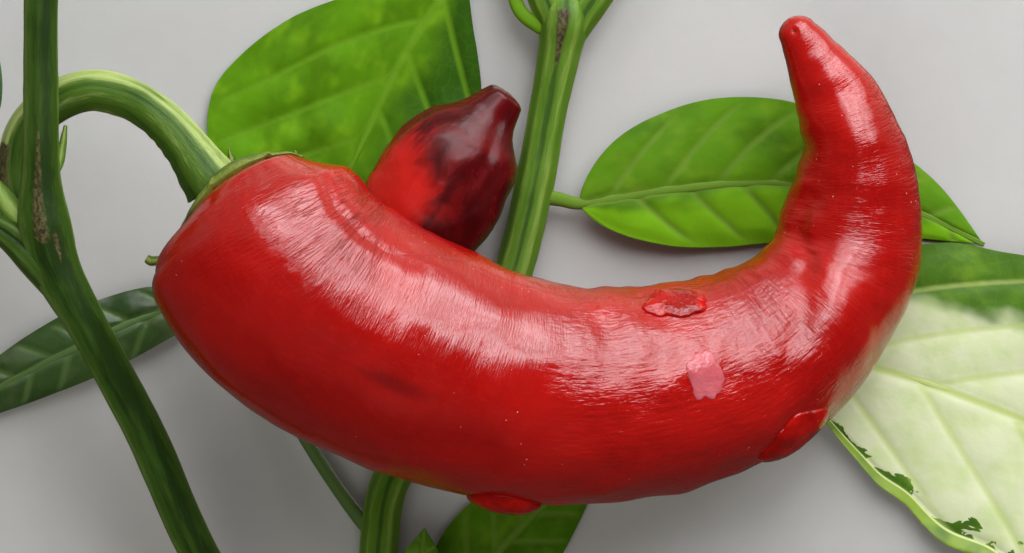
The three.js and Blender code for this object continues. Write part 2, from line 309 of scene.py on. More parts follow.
def fruitRows(form):
    # Grids of reach, radius and turn over a fruit, from its drawn-in foot over its body to its round tip,
    # and of the angle by which its outward direction leans towards the tip
    length = curveLength(form["curve"])
    body = np.arange(0, length, form["rowStep"])
    foot, dome = np.array(form["footShares"]), np.radians(form["domeDegrees"])
    radius = placesOn(form["curve"], body)["radius"]
    lastRadius = placesOn(form["curve"], length)["radius"]
    reach = np.concatenate([0 * foot, body, length + form["tipDome"] * np.sin(dome)])[:, None]
    radius = np.concatenate([radius[0] * foot, radius, lastRadius * np.cos(dome)])[:, None]
    towards = np.concatenate([-0.5 * math.pi * (1 - foot**3), 0 * body, dome])[:, None]
    return np.broadcast_arrays(reach, radius, turnsRound(form["columns"]), towards)


fruit["curve"] = curveThrough(stationsOf(fruit))
fruitLength = curveLength(fruit["curve"])

roughReach = np.linspace(0, fruitLength + fruit["tipDome"], 200)[:, None]
roughTurn = np.linspace(-math.pi, math.pi, 90)[None, :]
roughPlace = placesOn(fruit["curve"], roughReach + 0 * roughTurn)
roughPoints = aroundPlaces(roughPlace, roughTurn, roughPlace["radius"] * (roughReach <= fruitLength))
boxLow, boxHigh = (np.array(corner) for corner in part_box("fruit_main"))
toFrame = (boxLow + boxHigh) / 2 / mm - (roughPoints.min((0, 1)) + roughPoints.max((0, 1))) / 2
toFrame[1] = boxLow[1] / mm - roughPoints[..., 1].min()      # its tip is finished rounder than the solid's
print("step to the frame, mm:", toFrame.round(3))


def inFrame(points):
    moved = np.asarray(points, float) + toFrame
    moved[..., 2] = np.maximum(moved[..., 2], 0.02)      # nothing below the ground it lies on
    return moved * mm


# Camera, light and floor

camera = {"height": 724.0, "lens": 196.9, "sensor": 36.0}
cameraData = bpy.data.cameras.new("Camera")
cameraData.lens = camera["lens"]
cameraData.sensor_width = camera["sensor"]
cameraData.clip_start = 0.01
cameraObject = bpy.data.objects.new("Camera", cameraData)
cameraObject.location = [float(v) * mm for v in toFrame + np.array([0, 0, camera["height"]])]
bpy.context.scene.collection.objects.link(cameraObject)
bpy.context.scene.camera = cameraObject
bpy.context.scene.view_settings.view_transform = "Standard"


def addNode(tree, kind, inputs=None, **settings):
    # A node with its settings, its inputs given as values or as the sockets that feed them
    made = tree.nodes.new(kind)
    for name, value in settings.items():
        setattr(made, name, value)
    for name, value in (inputs or {}).items():
        if isinstance(value, bpy.types.NodeSocket):
            tree.links.new(value, made.inputs[name])
        else:
            made.inputs[name].default_value = value
    return made


def calculate(tree, operation, first, second=0.0):
    return addNode(tree, "ShaderNodeMath", {0: first, 1: second}, operation=operation).outputs[0]


def plus(tree, first, second):
    return calculate(tree, "ADD", first, second)


def times(tree, first, *others):
    for other in others:
        first = calculate(tree, "MULTIPLY", first, other)
    return first


def gapTo(tree, value, middle):
    # How far a value is from a middle one, without its sign
    return calculate(tree, "ABSOLUTE", calculate(tree, "SUBTRACT", value, middle))


def strayed(tree, value, pattern, amount):
    # A value moved up and down by a pattern of 0 to 1, over that amount in all
    return plus(tree, value, times(tree, calculate(tree, "SUBTRACT", pattern, 0.5), amount))


def blendColour(tree, factor, first, second):
    return addNode(tree, "ShaderNodeMix", {0: factor, 6: first, 7: second}, data_type="RGBA").outputs[2]


def rangeOf(tree, value, low, high, newLow=0.0, newHigh=1.0):
    return addNode(tree, "ShaderNodeMapRange", {
        "Value": value, "From Min": low, "From Max": high, "To Min": newLow, "To Max": newHigh,
    }, interpolation_type="SMOOTHSTEP").outputs[0]


def mark(tree, name, output="Fac"):
    return addNode(tree, "ShaderNodeAttribute", attribute_name=name).outputs[output]


def scaled(tree, vector, size, shift=(0, 0, 0)):
    # Pattern place: the vector divided by a size in its own units
    return addNode(tree, "ShaderNodeMapping", {
        "Vector": vector, "Scale": tuple(1 / s for s in size), "Location": shift}).outputs[0]


def noise(tree, vector, size, detail=2.0, roughness=0.55, distortion=0.0, shift=(0, 0, 0)):
    return addNode(tree, "ShaderNodeTexNoise", {
        "Vector": scaled(tree, vector, size, shift), "Scale": 1.0, "Detail": detail,
        "Roughness": roughness, "Distortion": distortion}).outputs[0]


def bumped(tree, height, distance, normal=None):
    # Bump whose distance is in millimetres, over another normal where one is given
    inputs = {"Height": height, "Distance": distance * mm, "Strength": 1.0}
    if normal:
        inputs["Normal"] = normal
    return addNode(tree, "ShaderNodeBump", inputs).outputs[0]


def startMaterial(name):
    material = bpy.data.materials.new(name)
    material.use_nodes = True
    tree = material.node_tree
    return material, tree, tree.nodes["Principled BSDF"]


def shades(**colours):
    # Colours by name, each with full cover
    return {name: (*colour, 1) for name, colour in colours.items()}


def feed(tree, shader, **sockets):
    names = {"colour": "Base Color", "roughness": "Roughness", "normal": "Normal"}
    for key, socket in sockets.items():
        tree.links.new(socket, shader.inputs[names[key]])


def areaLight(name, direction, distance, size, power, colour, roll=0):
    # A softbox that faces the middle of the branch, from a direction (x, y, z), sizes in metres
    data = bpy.data.lights.new(name, "AREA")
    data.shape = "RECTANGLE"
    data.size, data.size_y = size
    data.energy = power
    data.color = colour
    light = bpy.data.objects.new(name, data)
    heading = Vector(direction).normalized()
    light.location = heading * distance
    rolled = Quaternion((0, 0, 1), math.radians(roll))
    light.rotation_euler = (heading.to_track_quat("Z", "Y") @ rolled).to_euler()
    light.visible_camera = False
    bpy.context.scene.collection.objects.link(light)
    return light


def cloudLight(data, box):
    # Brightness from dark to bright in soft patches over the light's face; it fades out on the part of
    # the face that stands over the camera and halves towards its foot
    data.use_nodes = True
    tree = data.node_tree
    face = addNode(tree, "ShaderNodeNewGeometry").outputs
    size = box["cloudSize"]
    patches = noise(tree, face["Parametric"], (size, size, size), 2, 0.5, shift=box["cloudPlace"])
    place = addNode(tree, "ShaderNodeSeparateXYZ", {0: face["Position"]}).outputs
    strength = times(tree, rangeOf(tree, patches, 0.42, 0.56, box["dark"], box["bright"]),
                     rangeOf(tree, place["Y"], 0.12, 0.28), rangeOf(tree, place["Z"], 0.05, 0.3, 0.5, 1))
    emission = next(node for node in tree.nodes if node.type == "EMISSION")
    tree.links.new(strength, emission.inputs["Strength"])


# Two softboxes with clouded faces, one in front of the other, stand over the top of the picture and to
# the right. The fill comes from low in the picture.
softboxes = {
    "SoftboxCore": {"tilt": 50, "swing": 17, "distance": 0.6, "size": (0.60, 0.62), "power": 3.9,
                    "cloudSize": 0.26, "cloudPlace": (3, 1, 0), "dark": 0.0, "bright": 2.0},
    "SoftboxWide": {"tilt": 50, "swing": 18, "distance": 0.66, "size": (0.80, 0.98), "power": 6.2,
                    "cloudSize": 0.2, "cloudPlace": (7, 5, 0), "dark": 0.15, "bright": 1.5},
}
for name, box in softboxes.items():
    tilt, swing = math.radians(box["tilt"]), math.radians(box["swing"])
    heading = (math.sin(swing), math.cos(swing) * math.sin(tilt), math.cos(swing) * math.cos(tilt))
    softbox = areaLight(name, heading, box["distance"], box["size"], box["power"], (0.95, 0.95, 1.0), -50)
    cloudLight(softbox.data, box)
fill = areaLight("Fill", (-0.2, -0.6, 1), 1.0, (0.9, 0.9), 4.2, (1, 0.99, 0.95))
fill.visible_glossy = False      # it lifts the shadows and leaves no second highlight

# A warm cloudy glow towards the top of the picture, and a faint even light from all round
world = bpy.data.worlds.new("Studio")
world.use_nodes = True
sky = world.node_tree
background = sky.nodes["Background"]
background.inputs["Color"].default_value = (1, 0.95, 0.80, 1)
evenLight = 0.07
heading = addNode(sky, "ShaderNodeTexCoord").outputs["Generated"]
axes = addNode(sky, "ShaderNodeSeparateXYZ", {0: heading}).outputs
cloudy = noise(sky, heading, (0.13, 0.13, 0.13), 2)
glow = times(sky, rangeOf(sky, axes["Y"], 0.08, 0.6), rangeOf(sky, axes["Z"], 0.1, -0.6, 0.7, 1.2),
             rangeOf(sky, axes["X"], -0.6, 0.3, 0.35, 0.8), rangeOf(sky, cloudy, 0.42, 0.56, 0.35, 1.7))
sky.links.new(plus(sky, glow, evenLight), background.inputs["Strength"])
bpy.context.scene.world = world


def floorFinish():
    material, tree, shader = startMaterial("Floor")
    place = addNode(tree, "ShaderNodeTexCoord").outputs["Object"]
    grain = noise(tree, place, (0.004, 0.004, 0.004), 4)
    feed(tree, shader, colour=blendColour(tree, grain, (0.37, 0.37, 0.355, 1), (0.40, 0.40, 0.385, 1)),
         normal=bumped(tree, grain, 0.05))
    shader.inputs["Roughness"].default_value = 0.75
    shader.inputs["Specular IOR Level"].default_value = 0.2
    return material


floorMesh = bpy.data.meshes.new("Floor")
floorHalf = 1.5
corners = [(-1, -1), (1, -1), (1, 1), (-1, 1)]
floorMesh.from_pydata([(x * floorHalf, y * floorHalf, 0) for x, y in corners], [], [(0, 1, 2, 3)])
floorMesh.materials.append(floorFinish())
floor = bpy.data.objects.new("Floor", floorMesh)
bpy.context.scene.collection.objects.link(floor)
floor.visible_glossy = False     # skins stay deep in colour down to their lower edges
print("camera, light and floor made")


# The large fruit

ripeSkin = {
    "colours": shades(red=(0.25, 0.0018, 0.0012), brightRed=(0.34, 0.0045, 0.003), grain=(0.38, 0.008, 0.007),
                      # The dark stroke on the belly is painted shade along a shallow dent there
                      bruise=(0.10, 0.001, 0.001), fleck=(0.85, 0.55, 0.42), scar=(0.07, 0.006, 0.004),
                      # The crease red is painted shade in the wrinkles and along the furrow
                      crease=(0.12, 0.001, 0.002)),
    "brushed": (42, 52, 80, 90),     # reaches where streaks along the fruit start, are full, and end
    "ior": 1.55,
}


def ripeFinish(look):
    # Glossy red skin: mottled reds, pale flecks, wrinkles as fine lines across the fruit with painted shade
    # in them, painted shade along the furrow, and streaks that run along it between its belly and its bend
    material, tree, shader = startMaterial("Ripe skin")
    colours = look["colours"]
    straight = mark(tree, "straight", "Vector")
    wrinkle = mark(tree, "wrinkle")
    mottle = noise(tree, straight, (14, 9, 9), 3)
    colour = blendColour(tree, rangeOf(tree, mottle, 0.3, 0.75), colours["red"], colours["brightRed"])
    grain = noise(tree, straight, (1.2, 0.5, 0.5), 2)
    colour = blendColour(tree, rangeOf(tree, grain, 0.45, 0.8, 0, 0.35), colour, colours["grain"])
    flecks = addNode(tree, "ShaderNodeTexVoronoi", {
        "Vector": scaled(tree, straight, (1.1, 0.9, 0.9)), "Scale": 1.0, "Randomness": 1.0}).outputs
    chosen = addNode(tree, "ShaderNodeSeparateColor", {"Color": flecks["Color"]}).outputs[0]
    clusters = rangeOf(tree, noise(tree, straight, (9, 9, 9), 1), 0.45, 0.6, 0, 0.75)
    speck = times(tree, rangeOf(tree, flecks["Distance"], 0.09, 0.03), clusters,
                  rangeOf(tree, chosen, 0.6, 0.62))
    # painted shade: a dark stroke along a shallow dent on the belly
    bruised = rangeOf(tree, mark(tree, "bruise"), 0.1, 1.0, 0, 0.6)
    colour = blendColour(tree, bruised, colour, colours["bruise"])
    colour = blendColour(tree, speck, colour, colours["fleck"])
    colour = blendColour(tree, rangeOf(tree, mark(tree, "scar"), 0.5, 0.9), colour, colours["scar"])
    thread = rangeOf(tree, gapTo(tree, noise(tree, straight, (0.46, 7, 7), 1.2, 0.45), 0.5), 0.04, 0.0)
    patchy = rangeOf(tree, noise(tree, straight, (3, 3, 3)), 0.35, 0.6, 0.25, 1.0)
    crease = times(tree, thread, wrinkle, patchy)
    toFold = strayed(tree, mark(tree, "fold"), noise(tree, straight, (1.6, 2, 2), 3), 2.0)
    furrow = rangeOf(tree, calculate(tree, "ABSOLUTE", toFold), 0.45, 0.0)
    # deep marks the wrinkles' lines and the furrow: it darkens the colour as painted shade, and bumps and
    # roughens the skin
    deep = calculate(tree, "MAXIMUM", crease, times(tree, furrow, 0.3))
    colour = blendColour(tree, times(tree, deep, 0.6), colour, colours["crease"])
    fine = noise(tree, straight, (0.22, 1.6, 1.6), 2, 0.6)
    strokes = noise(tree, straight, (0.7, 4, 4), 3, 0.65)
    stroked = times(tree, strokes, plus(tree, times(tree, wrinkle, 0.5), 0.5))
    height = plus(tree, times(tree, fine, 0.4), stroked)
    reach = addNode(tree, "ShaderNodeSeparateXYZ", {0: straight}).outputs["X"]
    starts, full, until, gone = look["brushed"]
    brushed = times(tree, rangeOf(tree, reach, starts, full), rangeOf(tree, reach, gone, until))
    streaks = plus(tree, noise(tree, straight, (3.2, 0.55, 0.55), 3, 0.65),
                   noise(tree, straight, (1.6, 1.1, 1.1), 2))
    height = plus(tree, times(tree, height, calculate(tree, "SUBTRACT", 1.0, times(tree, brushed, 0.6))),
                  times(tree, streaks, brushed, 1.2))
    rough = rangeOf(tree, noise(tree, straight, (6, 3, 3), 3), 0.3, 0.8, 0.10, 0.2)
    feed(tree, shader, colour=colour, normal=bumped(tree, height, 0.12, bumped(tree, deep, -0.07)),
         roughness=plus(tree, rough, times(tree, deep, 0.3)))
    shader.inputs["IOR"].default_value = look["ior"]
    return material


def makeFruit():
    reach, radius, turn, towards = fruitRows(fruit)
    points, _, marks = fruitSkin(reach, turn, radius, towards)
    skin = closedSkin(points, straight=unrolled(reach, turn, radius), **marks)
    buildPiece("FruitSkin", [skin], ripeFinish(ripeSkin), ["fruit_main"])


makeFruit()


# Stems, stalks and shoots

def limbSkin(form):
    # Profile carried along a path: the stations' radius, plus ridges that run along it as bells in turn,
    # plus slow lumps; the ends are cut flat with a small round edge and a hollowed pith
    curve = curveThrough(form["stations"])
    length, edge, seed = curveLength(curve), 0.1, form["seed"]
    capShare = np.array([0, 0.2, 0.4, 0.6, 0.8, 0.95])
    body = np.linspace(edge, length - edge, max(6, round(length / form["step"])))
    body = np.concatenate([[0], body, [length]])
    reach = np.concatenate([0 * capShare, body, length + 0 * capShare])[:, None]
    share = np.concatenate([capShare, 1 + 0 * body, capShare[::-1]])[:, None]
    reach, share, turn = np.broadcast_arrays(reach, share, turnsRound(form["columns"]))
    place = placesOn(curve, reach)
    radius = place["radius"]
    straight = unrolled(reach, turn, radius)
    ridge = sum(height * hump(turnGap(turn, degrees), math.radians(width))
                for degrees, width, height in form["ridges"])
    highest = max(abs(height) for _, _, height in form["ridges"])
    lumps = noiseAt(straight, form["lumpSize"], seed) + 0.3 * noiseAt(straight, 1.6, seed + 1)
    lumps = form["lump"] * lumps
    wavy = np.sin(2 * math.pi * (reach / 2.3 + 0.8 * noiseAt(straight, 5, seed + 2)))
    waves = form["waves"] * hump(turnGap(turn, 90), 0.8) * wavy * smoothStep(0.5, 0.8, reach / length)
    cut = np.where(share < 1, 1 - 0.8 * share, 0)
    atEdge = np.minimum(reach, length - reach) < 0.5 * edge
    wall = radius + ridge + lumps + waves - edge * atEdge
    sunk = 0.35 * hump(share, 0.35) * (share < 1)
    points = aroundPlaces(place, turn, wall * share)
    points += place["along"] * (sunk * np.where(reach < 0.5 * length, 1, -1))[..., None]
    # tone follows the ridges' heights: painted light where they stand high, painted shade in the furrows
    tone = np.clip(0.45 + 0.5 * ridge / highest + 0.1 * lumps / form["lump"], 0, 1)
    cork = 0 * turn
    for start, end, degrees, startWidth, endWidth in form["cork"]:
        wide = startWidth + (endWidth - startWidth) * smoothStep(start, end, reach)
        lengthwise = band(reach, start - 1, start + 1, end - 0.6, end + 0.6)
        cork = np.maximum(cork, hump(radius * turnGap(turn, degrees), wide) * lengthwise)
    return closedSkin(points, straight=straight, tone=tone, cork=cork, cut=cut)


def limb(stations, ridges, columns, step, lump, seed, lumpSize=5, waves=0, cork=()):
    # Limb with few values of its own: ridges as (turn in degrees, width in degrees, height), cork patches
    # as (start, end, turn in degrees, width at the start, width at the end)
    return limbSkin({"stations": stations, "ridges": ridges, "columns": columns, "step": step, "lump": lump,
                     "seed": seed, "lumpSize": lumpSize, "waves": waves, "cork": cork})


def greenFinish(name, palette, roughness=0.46, fibre=(3.5, 0.3, 0.3)):
    # Green stem: painted light on its ridges and painted shade in its furrows, long fibres, brown corky
    # patches, a pale pith in the cuts
    material, tree, shader = startMaterial(name)
    straight = mark(tree, "straight", "Vector")
    strand = noise(tree, straight, fibre, 3, 0.6)
    cloud = noise(tree, straight, (9, 3, 3), 2)
    tone = strayed(tree, strayed(tree, mark(tree, "tone"), strand, 0.6), cloud, 0.5)
    colour = blendColour(tree, rangeOf(tree, tone, 0.1, 0.5), palette["dark"], palette["mid"])
    colour = blendColour(tree, rangeOf(tree, tone, 0.5, 1.0), colour, palette["light"])
    crust = noise(tree, straight, (0.7, 0.45, 0.45), 3, 0.7)
    corky = rangeOf(tree, strayed(tree, mark(tree, "cork"), crust, 0.8), 0.35, 0.75)
    bark = blendColour(tree, rangeOf(tree, crust, 0.35, 0.65), (0.022, 0.018, 0.007, 1),
                       (0.085, 0.078, 0.028, 1))
    colour = blendColour(tree, corky, colour, bark)
    cut = mark(tree, "cut")
    inside = blendColour(tree, rangeOf(tree, cut, 0.34, 0.6), (0.10, 0.17, 0.03, 1), (0.40, 0.44, 0.24, 1))
    inside = blendColour(tree, rangeOf(tree, cut, 0.75, 0.98), inside, (0.20, 0.20, 0.09, 1))
    colour = blendColour(tree, rangeOf(tree, cut, 0.05, 0.2), colour, inside)
    pores = noise(tree, straight, (0.55, 0.28, 0.28), 2)
    height = plus(tree, times(tree, plus(tree, strand, pores), 0.6), times(tree, corky, crust))
    feed(tree, shader, colour=colour, normal=bumped(tree, height, 0.07),
         roughness=rangeOf(tree, cloud, 0.3, 0.7, roughness - 0.06, roughness + 0.1))
    shader.inputs["Specular IOR Level"].default_value = 0.18
    return material


# The first palette is the stem green darkened with painted shade, for the stems that lie in shadow
shadedGreens = shades(dark=(0.010, 0.026, 0.003), mid=(0.028, 0.064, 0.006), light=(0.085, 0.140, 0.026))
stemGreens = shades(dark=(0.028, 0.070, 0.006), mid=(0.068, 0.150, 0.010), light=(0.160, 0.250, 0.040))
# The stalk's light green is a painted highlight along the ridges that face the light
stalkGreens = shades(dark=(0.018, 0.050, 0.005), mid=(0.050, 0.105, 0.009), light=(0.290, 0.370, 0.110))

# Ridges shape a limb and also set its tone, the painted light and shade along it
armRidges = [(-88, 16, 0.2), (-38, 11, 0.12), (-2, 8, -0.16), (30, 12, 0.14), (75, 14, 0.1),
             (125, 16, 0.14), (178, 16, 0.12), (-135, 15, 0.14)]

stems = {
    "FootStem": {
        "stations": [(-22.1, -84.1, 3.4, 3.1), (-21.2, -73.8, 3.5, 3.1), (-20.7, -67.8, 3.7, 3.45),
                     (-20.5, -64.8, 3.7, 2.6), (-20.4, -63.2, 3.7, 1.2)],
        "nodes": ["stem_base"], "cork": [(10, 16.5, 10, 0.3, 1.2)], "seed": 21, "lump": 0.12},
    "LeftStem": {
        "stations": [(-22.3, -71.5, 4.0, 2.3), (-23.5, -66.9, 4.5, 2.45), (-29.4, -54.3, 6.2, 2.4),
                     (-35.8, -42.6, 9.5, 2.35), (-40.7, -33.3, 13, 2.35), (-46.4, -19.6, 17.5, 2.4),
                     (-53.7, -5.4, 21.8, 2.5), (-57.0, 1.0, 23.4, 2.95), (-58.4, 6.4, 24.4, 3.2),
                     (-58.75, 10.2, 25.3, 2.7), (-58.7, 14, 26.3, 2.2), (-58.6, 26.9, 28, 2.05),
                     (-58.5, 34.3, 29, 2.05), (-58.2, 42.9, 30, 1.95)],
        "nodes": ["stem_left", "shoot_left"], "cork": [(87, 101, -5, 1.1, 0.25), (84, 88, 24, 0.2, 0.5)],
        "ridges": [(-60, 19, 0.15), (-20, 9, -0.06), (24, 26, -0.12), (86, 9, 0.17), (125, 16, 0.14),
                   (178, 16, 0.12), (-135, 15, 0.14)],
        "seed": 23, "lump": 0.1, "greens": shadedGreens},
    "RightStem": {
        "stations": [(-19.3, -71.5, 3.6, 2.3), (-18.2, -66.9, 3.4, 2.45), (-18, -54.5, 3.2, 2.35),
                     (-17, -41.7, 3, 2.35), (-17, -33.9, 3, 2.35), (-15.5, -26.2, 2.9, 2.35),
                     (-8.2, -15.9, 2.9, 2.35), (-2.6, -6.9, 2.9, 2.35), (0.5, 1.5, 3, 2.35),
                     (2.8, 11.1, 3.2, 2.35), (4.7, 21.4, 3.5, 2.35), (6.2, 29, 4, 2.65),
                     (6.8, 32.6, 4.3, 3.1), (7, 35.2, 4.4, 2.5), (7.1, 36.8, 4.5, 1.1)],
        "nodes": ["stem_right"], "cork": [(104, 111.5, -6, 0.3, 1.1)], "seed": 25, "lump": 0.1},
    "RightShootInner": {
        "stations": [(6.7, 29.4, 4.1, 1.2), (5.0, 34, 4.5, 2.0), (2.9, 38.7, 4.9, 1.85),
                     (-0.6, 45.7, 5.5, 1.75)],
        "nodes": ["shoot_right_a"], "seed": 27, "lump": 0.08},
    "RightShootOuter": {
        "stations": [(6.9, 29.0, 4.1, 1.2), (9.3, 33.6, 4.5, 2.0), (12.6, 38.3, 5, 1.85),
                     (17.4, 45.1, 6, 1.75)],
        "nodes": ["shoot_right_b"], "seed": 29, "lump": 0.08},
    "LeftSideShoot": {
        "stations": [(-55.6, -3.2, 22.9, 1.6), (-58.8, 1.8, 23.6, 2.5), (-63.2, 5.6, 23.5, 1.8),
                     (-66.4, 7.2, 22.8, 1.25), (-69.8, 9.2, 22, 1.15), (-76.2, 13.4, 21, 1.05)],
        "nodes": ["side_shoot_left"], "seed": 31, "lump": 0.06, "greens": shadedGreens},
}
for name, form in stems.items():
    form = {"ridges": armRidges, "columns": 84, "step": 0.35, "lumpSize": 5, "waves": 0, "cork": (),
            "greens": stemGreens, **form}
    buildPiece(name, [limbSkin(form)], greenFinish(f"{name} skin", form["greens"]), form["nodes"])

# A bud in the crotch of the left node and a slim bract behind its shoot
buds = [
    [(-60.8, 6.6, 23.6, 1.3), (-62.6, 8.4, 22.9, 1.5), (-63.9, 10.4, 22.6, 1.1), (-64.5, 12.0, 22.4, 0.35)],
    [(-58.2, 11.8, 22.8, 0.5), (-56.9, 14.0, 21.8, 0.6), (-56.4, 16.4, 21.4, 0.5), (-56.0, 19.0, 21.4, 0.2)],
]
budGreens = shades(dark=(0.03, 0.08, 0.01), mid=(0.10, 0.19, 0.025), light=(0.22, 0.32, 0.07))
budRidges = [(0, 30, 0.05), (120, 30, 0.05), (240, 30, 0.05)]
budSkins = [limb(stations, budRidges, 40, 0.3, 0.04, 41 + i) for i, stations in enumerate(buds)]
buildPiece("NodeBuds", budSkins, greenFinish("Bud skin", budGreens))

# The large fruit's stalk, ribbed and arched, widening where it meets the calyx
stalk = {
    "stations": [(-59.2, 4.2, 22.6, 2.0), (-61.2, 9.3, 20.9, 2.25), (-62.1, 12.6, 20.5, 2.35),
                 (-61.4, 17.3, 20.5, 2.45), (-58.9, 20.7, 20.8, 2.5), (-56, 22.5, 21.2, 2.5),
                 (-53.6, 23.2, 21.9, 2.5), (-52.1, 23.3, 22.3, 2.5), (-49.2, 22.7, 23, 2.5),
                 (-45.9, 21.2, 24.2, 2.5), (-42.5, 18.3, 25.3, 2.6), (-40, 15.3, 26.2, 2.85),
                 (-38.6, 13.3, 26.6, 3.3), (-37.2, 11.3, 26.4, 3.7)],
    "ridges": [(-76, 20, 0.17), (-42, 12, 0.15), (-14, 7, -0.06), (14, 11, 0.04), (48, 10, -0.04),
               (84, 14, 0.06), (150, 15, 0.14), (-128, 15, 0.14)],
    "columns": 120, "step": 0.25, "lump": 0.1, "lumpSize": 4, "seed": 51, "waves": 0.05,
    "cork": [(6, 13, -50, 1.3, 1.3), (49, 52.5, 96, 0.4, 0.8)],
}
stalkFinish = greenFinish("Stalk skin", stalkGreens)
buildPiece("FruitStalk", [limb(**stalk)], stalkFinish, ["pedicel_rise", "pedicel_fall"])
secondStalk = {
    "stations": [(-16.6, -0.6, 6.6, 2.2), (-17.2, -2.2, 6.3, 1.9), (-19.3, -6.4, 5.4, 1.6),
                 (-18.6, -13.5, 4, 1.5), (-14.6, -19.05, 3, 1.6), (-12.0, -20.6, 3, 1.4)],
    "ridges": [(degrees, 14, 0.12) for degrees in range(-170, 180, 60)],
    "columns": 72, "step": 0.3, "lump": 0.06, "seed": 55,
}
buildPiece("SecondStalk", [limb(**secondStalk)], stalkFinish, ["pedicel_second"])


# Calyxes: thin green saucers over the foot of each fruit

def calyxSkin(form):
    # Saucer about the fruit's axis: its height over the foot is a rim thickness plus a bell round the
    # stalk, its edge waves a little and carries pointed teeth, and the rim leans down over the shoulder
    foot = placesOn(form["curve"], np.array([0.0]))
    centre, along, side, up = (foot[key][0] for key in ("centre", "along", "side", "up"))
    share = np.concatenate([np.linspace(0, 0.9, 22), [0.94, 0.97, 0.99, 1.0]])[:, None]
    share, turn = np.broadcast_arrays(share, turnsRound(form["columns"]))
    ringPoint = np.stack([np.sin(turn), np.cos(turn), 0 * turn], -1)
    wobble = noiseAt(ringPoint, 0.35, form["seed"])
    teeth = sum(hump(turnGap(turn, degrees), math.radians(form["toothWidth"])) for degrees in form["teeth"])
    edge = form["radius"] * (1 + 0.025 * wobble) + form["toothLength"] * teeth * share**8
    across, towards = edge * share * np.sin(turn), edge * share * np.cos(turn) * form["flat"]
    towards = np.where(towards > 0, towards * form["front"], towards)
    bell = hump(np.hypot(across - form["stalkOffset"], towards), form["bellWidth"])
    rib = 0.12 * np.cos(turn * len(form["teeth"]) * 2 + 1) * share * (1 - share)
    hang = footHeight(across, towards) if form["onFoot"] else -form["droop"] * share**4
    droop = hang + form["toothLift"] * teeth * share**10
    grain = 0.05 * noiseAt(np.stack([across, towards, 0 * across], -1), 0.8, form["seed"] + 1)
    top = form["gap"] + form["thick"] + form["bellHeight"] * bell + droop + rib + grain
    bottom = form["gap"] + droop - 0.1 * (1 - share)
    middle = 0.5 * (top + bottom)
    closing = smoothStep(0.94, 1.0, share)
    top, bottom = (height + (middle - height) * closing * 0.7 for height in (top, bottom))
    across, towards, height = (np.vstack([upper, lower[::-1]]) for upper, lower in (
        (across, across), (towards, towards), (top, bottom)))
    points = centre + side * across[..., None] + up * towards[..., None] - along * height[..., None]
    shareAll = np.vstack([share, share[::-1]])
    straight = np.stack([height, across, towards], -1)
    tone = np.clip(0.4 + 0.35 * np.vstack([bell, bell]) + 0.3 * smoothStep(0.85, 1, shareAll), 0, 1)
    # Brown on the rim at one side is painted shadow, where the calyx's edge lies against the fruit below it
    fromShadow = turnGap(np.vstack([turn, turn]), form["shadowSide"])
    cork = 0.75 * smoothStep(0.9, 1, shareAll) * hump(fromShadow, 0.9)
    return closedSkin(points, straight=straight, tone=tone, cork=cork, cut=0 * tone)


second = {
    "radius": 8.7, "flat": 0.8,
    "axis": [(-16.4, 0.2, 6.8, 0.46), (-14.9, 2.8, 7.4, 0.76), (-11.8, 7.4, 8.4, 0.96), (-8.4, 12.6, 9, 1),
             (-5.2, 17.2, 9.4, 0.82), (-2.9, 20.2, 9.7, 0.43), (-0.8, 22.7, 10, 0.3)],
    "columns": 150, "rowStep": 0.2, "tipDome": 0.8,
    "footShares": [0, 0.3, 0.6, 0.85, 0.95],
    "domeDegrees": [10, 22, 34, 46, 58, 70, 80, 90],
}
second["curve"] = curveThrough(stationsOf(second))
# front is the calyx's share of its width on the side towards the camera; onFoot lays it on the large
# fruit's foot, and without it the rim hangs by its droop
mainCalyx = {
    "curve": fruit["curve"], "radius": 8.7, "columns": 240, "seed": 61,
    "teeth": [-88, -35, 20, 75, 135, -140], "toothWidth": 3.0, "toothLength": 0.4, "toothLift": 0.4,
    "stalkOffset": 1.0, "bellWidth": 5.8, "bellHeight": 1.65, "thick": 0.3, "gap": 0.06, "shadowSide": 80,
    "flat": 1, "front": 0.56, "onFoot": True,
}
smallCalyx = {
    "curve": second["curve"], "radius": 4.1, "columns": 120, "seed": 65,
    "teeth": [0, 72, 144, -144, -72], "toothWidth": 6, "toothLength": 0.6, "toothLift": 0.3,
    "stalkOffset": 0, "bellWidth": 2.2, "bellHeight": 1.1, "thick": 0.4, "gap": 0.1, "shadowSide": 180,
    "flat": 0.8, "front": 1, "onFoot": False, "droop": 0.4,
}
# A stub of the calyx that stands off the shoulder, at the left, and two dry tips at its upper rim
stub = [(-41.5, 2.4, 20.2, 0.5), (-43.6, 2.2, 20.4, 0.5), (-45.3, 1.95, 20.6, 0.6), (-45.9, 2.3, 20.6, 0.5)]
tips = [
    [(-34.8, 13.8, 26, 0.7), (-35.0, 14.8, 26, 0.45), (-35.2, 15.5, 26, 0.25), (-35.3, 16.1, 26, 0.1)],
    [(-27.0, 14.3, 25, 0.45), (-26.9, 14.9, 25, 0.3), (-27.0, 15.4, 25, 0.2), (-27.1, 15.8, 25, 0.1)],
]
calyxSkins = [calyxSkin(mainCalyx), limb(stub, [(0, 30, 0.08), (180, 30, 0.08)], 40, 0.2, 0.06, 68)]
calyxSkins += [limb(stations, [(0, 30, 0.03)], 24, 0.15, 0.03, 63 + i) for i, stations in enumerate(tips)]
calyxFinish = greenFinish("Calyx skin", shades(dark=(0.02, 0.045, 0.006), mid=(0.055, 0.10, 0.012),
                                               light=(0.17, 0.21, 0.035)), fibre=(0.5, 0.6, 0.6))
buildPiece("FruitCalyx", calyxSkins, calyxFinish, ["calyx_main"])
buildPiece("SecondCalyx", [calyxSkin(smallCalyx)], calyxFinish, ["calyx_second"])


# The small fruit

